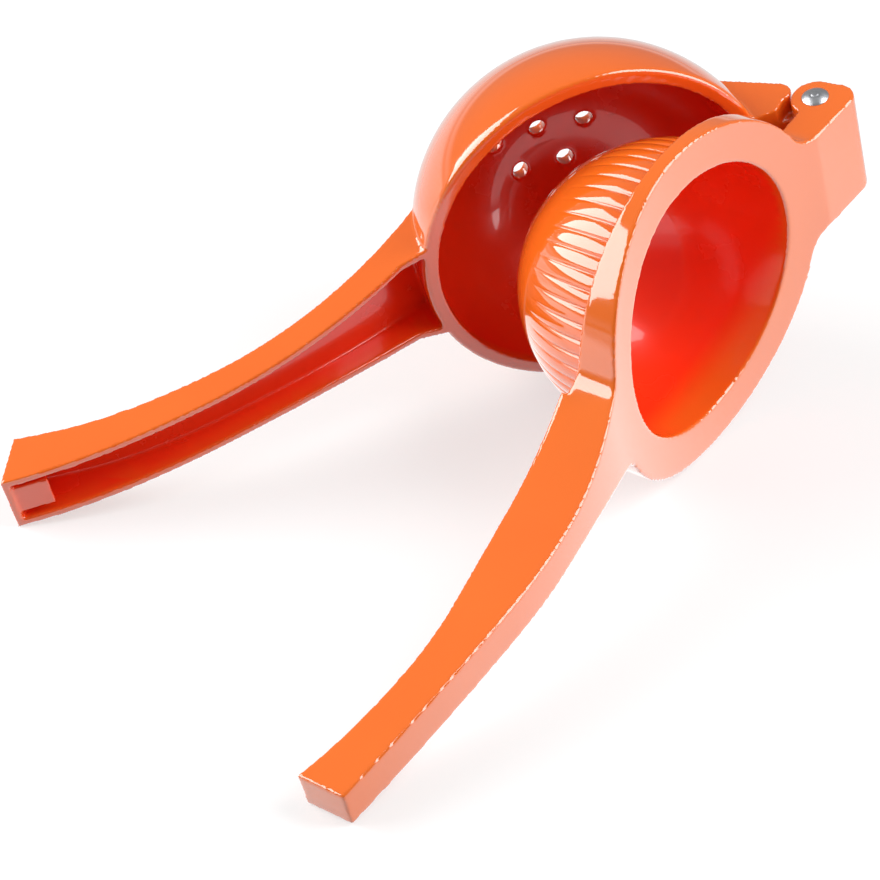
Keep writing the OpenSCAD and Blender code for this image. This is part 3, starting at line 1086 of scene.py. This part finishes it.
class Nodes:
    """Short ways to add and join nodes in one node tree."""

    def __init__(self, tree: bpy.types.NodeTree) -> None:
        """Keeps the tree that nodes are added to."""
        self.tree = tree

    def feed(self, node: bpy.types.Node, feeds: dict[str | int, Feed]) -> None:
        """Gives inputs of a node, by name or number, a socket to join or a plain value.

        Args:
            node: The node.
            feeds: What goes into each input, by the input's name or number.
        """
        for name, value in feeds.items():
            if isinstance(value, bpy.types.NodeSocket):
                self.tree.links.new(value, node.inputs[name])
            else:
                node.inputs[name].default_value = value

    def add(self, kind: str, feeds: dict[str | int, Feed] | None = None, **values: object) -> bpy.types.Node:
        """Adds a node.

        Args:
            kind: The node's type, without its ShaderNode prefix.
            feeds: What goes into its inputs.
            values: Properties of the node, set by name.

        Returns:
            The node.
        """
        node = self.tree.nodes.new(f"ShaderNode{kind}")
        for name, value in values.items():
            setattr(node, name, value)
        self.feed(node, feeds or {})
        return node

    def noise(self, place: bpy.types.NodeSocket, scale: float, detail: float = 2.0) -> bpy.types.NodeSocket:
        """Noise from 0 to 1, about half on average."""
        return self.add("TexNoise", {"Vector": place, "Scale": scale, "Detail": detail}).outputs["Fac"]

    def span(
        self, value: bpy.types.NodeSocket, ends: Point, to: Point, kind: str = "LINEAR"
    ) -> bpy.types.NodeSocket:
        """Takes one range of numbers to another."""
        feeds = {"Value": value, "From Min": ends[0], "From Max": ends[1], "To Min": to[0], "To Max": to[1]}
        return self.add("MapRange", feeds, interpolation_type=kind).outputs["Result"]

    def sum(self, how: str, first: bpy.types.NodeSocket, second: Feed) -> bpy.types.NodeSocket:
        """Does one sum on two numbers."""
        return self.add("Math", {0: first, 1: second}, operation=how).outputs[0]

    def mix(self, share: bpy.types.NodeSocket, first: Feed, second: Feed) -> bpy.types.NodeSocket:
        """Mixes two colours.

        Args:
            share: How much of the second colour there is.
            first: First colour.
            second: Second colour.

        Returns:
            The mixed colour.
        """
        factor, first_colour, second_colour, result_colour = 0, 6, 7, 2
        feeds = {factor: share, first_colour: first, second_colour: second}
        return self.add("Mix", feeds, data_type="RGBA").outputs[result_colour]


def new_group(
    name: str, inputs: dict[str, str], outputs: dict[str, str]
) -> tuple[Nodes, bpy.types.bpy_prop_collection, bpy.types.Node]:
    """Starts a node group.

    Args:
        name: The group's name.
        inputs: Kind of each input, Float, Color or Vector, by its name.
        outputs: Kind of each output, by its name.

    Returns:
        The group's nodes, the sockets that come in and the node that its results go out through.
    """
    group = bpy.data.node_groups.new(name, "ShaderNodeTree")
    for way, kinds in (("INPUT", inputs), ("OUTPUT", outputs)):
        for socket, kind in kinds.items():
            group.interface.new_socket(name=socket, in_out=way, socket_type=f"NodeSocket{kind}")
    given = group.nodes.new("NodeGroupInput")
    result = group.nodes.new("NodeGroupOutput")
    return Nodes(group), given.outputs, result


@dataclass(frozen=True)
class Blotches:
    """Noise whose band of middle values becomes a number that runs from one end to the other."""

    scale: float
    detail: float
    band: Point
    ends: Point

    def at(self, nodes: Nodes, place: bpy.types.NodeSocket) -> bpy.types.NodeSocket:
        """Adds the nodes that give the number at a place."""
        return nodes.span(nodes.noise(place, self.scale, self.detail), self.band, to=self.ends)


@dataclass(frozen=True)
class EnamelFilm:
    """A fired film of enamel: slow changes of tone, faint peel and a few specks.

    Where the painted shade share is high the film takes the painted shade colour, a darker red standing in
    for the shade in hollows, and is duller and has less coat.
    """

    clouds: Blotches = Blotches(28.0, 4.0, band=(0.3, 0.75), ends=(0.0, 0.45))
    smears: Blotches = Blotches(60.0, 5.0, band=(0.35, 0.8), ends=(0.05, 0.13))
    dulled: float = 0.18
    coat_left: float = 0.4
    wave_scale: float = 70.0
    wave_height: float = 3.0
    peel_scale: float = 620.0
    peel_height: float = 0.22
    speck_scale: float = 120.0
    speck_edge: Point = (0.02, 0.05)
    speck_height: float = 0.6

    def build(self) -> bpy.types.NodeTree:
        """Builds the effect.

        Returns:
            The group, with Place, Colour, Pooled, Painted Shade Colour and Painted Shade as inputs and
            Colour, Roughness, Coat and Height as outputs.
        """
        nodes, given, result = new_group(
            "enamel_film",
            {"Place": "Vector", "Colour": "Color", "Pooled": "Color", "Painted Shade Colour": "Color", "Painted Shade": "Float"},
            {"Colour": "Color", "Roughness": "Float", "Coat": "Float", "Height": "Float"},
        )
        place, painted_shade = given["Place"], given["Painted Shade"]
        film = nodes.mix(self.clouds.at(nodes, place), given["Colour"], given["Pooled"])
        dull = nodes.span(painted_shade, (0.0, 1.0), to=(0.0, self.dulled))
        waves = nodes.sum("MULTIPLY", nodes.noise(place, self.wave_scale, detail=1.0), self.wave_height)
        peel = nodes.sum("MULTIPLY", nodes.noise(place, self.peel_scale), self.peel_height)
        specks = nodes.add("TexVoronoi", {"Vector": place, "Scale": self.speck_scale}, feature="F1")
        near = specks.outputs["Distance"]
        nibs = nodes.span(near, self.speck_edge, to=(self.speck_height, 0.0), kind="SMOOTHSTEP")
        nodes.feed(
            result,
            {
                # Painted shade: the film colour turns to the painted shade colour by the painted shade share.
                "Colour": nodes.mix(painted_shade, film, given["Painted Shade Colour"]),
                "Roughness": nodes.sum("ADD", self.smears.at(nodes, place), dull),
                "Coat": nodes.span(painted_shade, (0.0, 1.0), to=(1.0, self.coat_left)),
                "Height": nodes.sum("ADD", nodes.sum("ADD", waves, peel), nibs),
            },
        )
        return nodes.tree


@dataclass(frozen=True)
class Handling:
    """Hair-fine marks of use, in patches."""

    detail: float = 3.0
    wander: float = 1.2
    hair: float = 0.012
    patches: Blotches = Blotches(34.0, 2.0, band=(0.5, 0.68), ends=(0.0, 1.0))

    def build(self) -> bpy.types.NodeTree:
        """Builds the effect.

        Returns:
            The group, with Place and Scale as inputs and Mask as its output.
        """
        nodes, given, result = new_group("handling", {"Place": "Vector", "Scale": "Float"}, {"Mask": "Float"})
        place = given["Place"]
        lines = {"Vector": place, "Scale": given["Scale"], "Detail": self.detail, "Distortion": self.wander}
        level = nodes.add("TexNoise", lines).outputs["Fac"]
        off_middle = nodes.sum("ABSOLUTE", nodes.sum("SUBTRACT", level, 0.5), 0.0)
        hairs = nodes.span(off_middle, (0.0, self.hair), to=(1.0, 0.0))
        nodes.feed(result, {"Mask": nodes.sum("MULTIPLY", hairs, self.patches.at(nodes, place))})
        return nodes.tree


@dataclass(frozen=True)
class Groups:
    """The shared effects."""

    film: bpy.types.NodeTree
    marks: bpy.types.NodeTree

    @classmethod
    def build(cls) -> Groups:
        """Builds each shared effect once."""
        return cls(EnamelFilm().build(), Handling().build())


def new_material(name: str) -> tuple[bpy.types.Material, Nodes, bpy.types.Node]:
    """Starts a material.

    Args:
        name: The material's name.

    Returns:
        The material, its nodes and its Principled shader.
    """
    material = bpy.data.materials.new(name)
    material.use_nodes = True
    return material, Nodes(material.node_tree), material.node_tree.nodes["Principled BSDF"]


@dataclass(frozen=True)
class Enamel:
    """Glossy orange enamel fired on a casting. Lengths are in metres."""

    name: str
    colour: Colour
    pooled: Colour
    # Painted shade: a darker red painted into the hollows in place of the shade that falls there.
    painted_shade_colour: Colour = (0.98, 0.045, 0.008, 1)
    peel_height: float = 1.2e-5
    gloss: float = 1.5
    coat_gloss: float = 1.7
    coat_roughness: float = 0.03
    mark_scale: float = 90.0
    mark_share: float = 0.015

    def build(self, groups: Groups) -> bpy.types.Material:
        """Builds the material.

        Args:
            groups: The shared effects.

        Returns:
            The material.
        """
        material, nodes, shader = new_material(self.name)
        place = nodes.add("TexCoord").outputs["Object"]
        # Share of painted shade, read from the vertices.
        painted_shade = nodes.add("Attribute", attribute_name=PAINTED_SHADE).outputs["Fac"]
        tones = {"Colour": self.colour, "Pooled": self.pooled, "Painted Shade Colour": self.painted_shade_colour}
        film = nodes.add("Group", {"Place": place, "Painted Shade": painted_shade, **tones}, node_tree=groups.film).outputs
        marks = nodes.add("Group", {"Place": place, "Scale": self.mark_scale}, node_tree=groups.marks)
        worn = nodes.sum("MULTIPLY", marks.outputs["Mask"], self.mark_share)
        relief = {"Height": film["Height"], "Strength": 1.0, "Distance": self.peel_height}
        nodes.feed(
            shader,
            {
                "Base Color": film["Colour"],
                "Roughness": nodes.sum("ADD", film["Roughness"], worn),
                "IOR": self.gloss,
                "Coat Weight": film["Coat"],
                "Coat Roughness": self.coat_roughness,
                "Coat IOR": self.coat_gloss,
                "Normal": nodes.add("Bump", relief).outputs["Normal"],
            },
        )
        return material


@dataclass(frozen=True)
class TurnedSteel:
    """Plain steel with the fine rings that turning leaves round the hinge. Lengths are in metres."""

    name: str
    hinge: Vector
    turn: Vector
    colour: Colour = (0.78, 0.8, 0.84, 1)
    shade: float = 0.72
    shade_share: float = 0.6
    ring_scale: float = 9000.0
    ring_detail: float = 3.0
    ring_band: Point = (0.2, 0.8)
    ring_height: float = 8e-6
    ring_strength: float = 0.6
    roughness: Point = (0.28, 0.44)
    mark_scale: float = 700.0
    mark_share: float = 0.15

    def build(self, groups: Groups) -> bpy.types.Material:
        """Builds the material.

        Args:
            groups: The shared effects.

        Returns:
            The material.
        """
        material, nodes, shader = new_material(self.name)
        place = nodes.add("TexCoord").outputs["Object"]
        lie = {"Vector": place, "Location": self.hinge, "Rotation": self.turn}
        upright = nodes.add("Mapping", lie, vector_type="TEXTURE").outputs["Vector"]
        flat = nodes.add("VectorMath", {0: upright, 1: (1, 1, 0)}, operation="MULTIPLY").outputs["Vector"]
        from_axis = nodes.add("VectorMath", {0: flat}, operation="LENGTH").outputs["Value"]
        turning = {"W": from_axis, "Scale": self.ring_scale, "Detail": self.ring_detail}
        rings = nodes.add("TexNoise", turning, noise_dimensions="1D").outputs["Fac"]
        marks = nodes.add("Group", {"Place": place, "Scale": self.mark_scale}, node_tree=groups.marks)
        dark = tuple(self.shade * part for part in self.colour[:3]) + (1.0,)
        rough = nodes.span(rings, self.ring_band, to=self.roughness)
        worn = nodes.sum("MULTIPLY", marks.outputs["Mask"], self.mark_share)
        relief = {"Height": rings, "Strength": self.ring_strength, "Distance": self.ring_height}
        nodes.feed(
            shader,
            {
                "Base Color": nodes.mix(nodes.sum("MULTIPLY", rings, self.shade_share), self.colour, dark),
                "Metallic": 1.0,
                "Roughness": nodes.sum("ADD", rough, worn),
                "Normal": nodes.add("Bump", relief).outputs["Normal"],
            },
        )
        return material


# --- Studio ---


def direction(azimuth: float, elevation: float) -> Vector:
    """Direction from the tool, with angles in degrees."""
    turn, rise = math.radians(azimuth), math.radians(elevation)
    return Vector((math.cos(rise) * math.cos(turn), math.cos(rise) * math.sin(turn), math.sin(rise)))


@dataclass(frozen=True)
class Lamp:
    """A soft oblong lamp a metre or so off: angles in degrees, lengths in m; shine is its brightness."""

    name: str
    azimuth: float
    elevation: float
    width: float
    height: float
    shine: float
    distance: float = 1.0
    aim_height: float = 0.03

    def build(self) -> None:
        """Adds the lamp, aimed at the middle of the tool."""
        light = bpy.data.lights.new(self.name, "AREA")
        light.shape = "RECTANGLE"
        light.size = self.width
        light.size_y = self.height
        light.energy = self.shine * math.pi * self.width * self.height
        lamp = bpy.data.objects.new(self.name, light)
        away = direction(self.azimuth, self.elevation)
        lamp.location = self.distance * away + Vector((0, 0, self.aim_height))
        lamp.rotation_euler = (-away).to_track_quat("-Z", "Y").to_euler()
        bpy.context.scene.collection.objects.link(lamp)


@dataclass(frozen=True)
class Camera:
    """Where the tool is looked at from; lengths in mm, angles in degrees."""

    aim: tuple[float, float, float] = (35.4, 14.45, 39.53)
    distance: float = 806.07
    azimuth: float = 54.513
    elevation: float = 35.973
    roll: float = 0.756
    lens: float = 143.18
    film: float = 36.0

    def build(self) -> None:
        """Adds the camera."""
        data = bpy.data.cameras.new("camera")
        data.lens = self.lens
        data.sensor_width = self.film
        camera = bpy.data.objects.new("camera", data)
        lean = math.radians(self.roll)
        back = direction(self.azimuth, self.elevation)
        level = direction(self.azimuth + 90, 0)
        upright = back.cross(level)
        right = level * math.cos(lean) - upright * math.sin(lean)
        up = back.cross(right)
        place = Matrix((right, up, back)).transposed().to_4x4()
        place.translation = (Vector(self.aim) + self.distance * back) * MM
        camera.matrix_world = place
        bpy.context.scene.collection.objects.link(camera)
        bpy.context.scene.camera = camera


@dataclass(frozen=True)
class Fade:
    """A brightness that changes smoothly from one value to another over a stretch along a way."""

    way: Vector
    stretch: Point
    values: Point

    def at(self, nodes: Nodes, place: bpy.types.NodeSocket) -> bpy.types.NodeSocket:
        """Adds the nodes that give the brightness at a place."""
        far = nodes.add("VectorMath", {0: place, 1: self.way}, operation="DOT_PRODUCT").outputs["Value"]
        return nodes.span(far, self.stretch, to=self.values, kind="SMOOTHSTEP")


AHEAD = Vector((0.5, 0.87, 0))
BEHIND = Vector((-0.59, -0.81, 0))
UP = Vector((0, 0, 1))


@dataclass(frozen=True)
class Studio:
    """Pale floor, white surroundings and soft lamps.

    The eye sees floor and sky as white, and floor_lift is what the floor adds to its own grey for that.
    The four fades are what gloss mirrors, so the enamel has darker and lighter sides.
    """

    floor_side: float = 8.0
    floor_grey: float = 0.4
    floor_grain: float = 0.99
    floor_grain_scale: float = 400.0
    floor_roughness: float = 0.9
    floor_lift: float = 0.6
    floor_far: Point = (0.4, 1.0)
    floor_behind: Fade = Fade(BEHIND, (0.06, 0.16), (1.0, 0.3))
    floor_ahead: Fade = Fade(AHEAD, (0.08, 0.16), (1.0, 0.1))
    sky_rise: Fade = Fade(UP, (0.0, 0.08), (0.6, 0.22))
    sky_ahead: Fade = Fade(AHEAD, (0.0, 0.6), (1.0, 0.3))
    sky_light: float = 0.28
    lamps: tuple[Lamp, ...] = (
        Lamp("tall_softbox", azimuth=137, elevation=35, width=0.55, height=1.3, shine=5.2),
        Lamp("wide_softbox", azimuth=318, elevation=30, width=1.0, height=0.75, shine=5.2),
    )

    def build(self) -> None:
        """Builds the floor, the world, the lamps and the camera."""
        self.build_floor()
        self.build_world()
        for lamp in self.lamps:
            lamp.build()
        Camera().build()
        bpy.context.scene.view_settings.view_transform = "Standard"

    def build_floor(self) -> None:
        """Adds the floor, which looks white where no shadow falls on it."""
        mesh = bmesh.new()
        bmesh.ops.create_grid(mesh, x_segments=1, y_segments=1, size=self.floor_side / 2)
        floor = Solid.adopt(mesh).as_object("floor")
        material, nodes, shader = new_material("floor_paper")
        place = nodes.add("TexCoord").outputs["Object"]
        pale, dark = ((grey, grey, grey, 1) for grey in (self.floor_grey, self.floor_grey * self.floor_grain))
        from_middle = nodes.add("VectorMath", {0: place}, operation="LENGTH").outputs["Value"]
        white = nodes.span(from_middle, self.floor_far, to=(self.floor_lift, 1.0), kind="SMOOTHSTEP")
        shine = nodes.sum("MULTIPLY", self.floor_behind.at(nodes, place), self.floor_ahead.at(nodes, place))
        path = nodes.add("LightPath").outputs
        mirrored = nodes.sum("MAXIMUM", path["Is Glossy Ray"], path["Is Transmission Ray"])
        seen = nodes.sum("MULTIPLY", path["Is Camera Ray"], white)
        nodes.feed(
            shader,
            {
                "Base Color": nodes.mix(nodes.noise(place, self.floor_grain_scale), pale, dark),
                "Roughness": self.floor_roughness,
                "Specular IOR Level": 0.0,
                "Emission Color": (1, 1, 1, 1),
                "Emission Strength": nodes.sum("ADD", seen, nodes.sum("MULTIPLY", mirrored, shine)),
            },
        )
        floor.data.materials.append(material)
        floor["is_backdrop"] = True

    def build_world(self) -> None:
        """Makes the surroundings white to the eye, dimmer in reflections and a soft light otherwise."""
        world = bpy.data.worlds.new("surroundings")
        world.use_nodes = True
        bpy.context.scene.world = world
        nodes = Nodes(world.node_tree)
        sky = nodes.add("TexCoord").outputs["Generated"]
        path = nodes.add("LightPath").outputs
        eye = path["Is Camera Ray"]
        mirrored_sky = nodes.sum("MULTIPLY", self.sky_rise.at(nodes, sky), self.sky_ahead.at(nodes, sky))
        mirrored = nodes.sum("MAXIMUM", path["Is Glossy Ray"], path["Is Transmission Ray"])
        seen = nodes.sum("MAXIMUM", eye, mirrored)
        shares = {"Factor": seen, "A": self.sky_light, "B": nodes.sum("MAXIMUM", mirrored_sky, eye)}
        strength = nodes.add("Mix", shares, data_type="FLOAT").outputs["Result"]
        nodes.feed(world.node_tree.nodes["Background"], {"Color": (1, 1, 1, 1), "Strength": strength})


# --- Pieces ---


@dataclass(frozen=True)
class Piece:
    """A finished piece: its name, the body it moves with, its finish and the node it stands for."""

    name: str
    body: str
    slot: str
    node: str

    def finish(self, solid: Solid, where: Matrix, material: bpy.types.Material) -> bpy.types.Object:
        """Places the solid, dresses it and ties it to the frame.

        Args:
            solid: The piece's solid in its arm's drawing frame. It is used up.
            where: Takes the drawing to its place in the frame.
            material: The piece's finish.

        Returns:
            The piece's object.
        """
        made = solid.placed(where).as_object(self.name)
        made.data.materials.append(material)
        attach(made, self.body)
        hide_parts(self.node)
        triangles = sum(len(face.vertices) - 2 for face in made.data.polygons)
        log.info("%s: %d triangles, rides %s, stands for %s", self.name, triangles, self.body, self.node)
        return made


def corners(box: Iterable[Iterable[float]]) -> list[list[float]]:
    """Lowest and highest corner of a box as plain lists."""
    return [[float(number) for number in corner] for corner in box]


def main() -> None:
    """Builds the squeezer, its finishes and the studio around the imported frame."""
    logging.basicConfig(level=logging.INFO, format="%(message)s")
    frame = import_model()
    cad_box = corners(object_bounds())
    lie = Lie.of_joint(frame["joints"][0])
    groups = Groups.build()
    bowl_enamel = Enamel(
        "bowl_enamel", colour=(0.88, 0.16, 0.014, 1), pooled=(0.83, 0.125, 0.01, 1)
    ).build(groups)
    press_enamel = Enamel(
        "press_enamel", colour=(0.89, 0.168, 0.016, 1), pooled=(0.85, 0.135, 0.012, 1)
    ).build(groups)
    steel = TurnedSteel("rivet_steel", lie.hinge, Vector((lie.roll, lie.pitch, 0))).build(groups)

    press = PressArm()
    ribs = Piece("press_dome_ribs", "press", "press_enamel", "press_arm")
    ribs.finish(press.ribs(), lie.of(Arm.PRESS), press_enamel)
    casting = Piece("press_casting", "press", "press_enamel", "press_arm")
    casting.finish(press.casting(), lie.of(Arm.PRESS), press_enamel)
    bowl = Piece("bowl_casting", "bowl", "bowl_enamel", "bowl_arm")
    bowl.finish(BowlArm().casting(), lie.of(Arm.BOWL), bowl_enamel)
    rivet = Piece("hinge_rivet", "press", "rivet_steel", "hinge_pin")
    rivet.finish(Rivet().turned(), lie.of(Arm.PRESS), steel)

    Studio().build()
    json.dumps({"cad": cad_box, "visual": corners(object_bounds())})


if __name__ == "__main__":
    main()
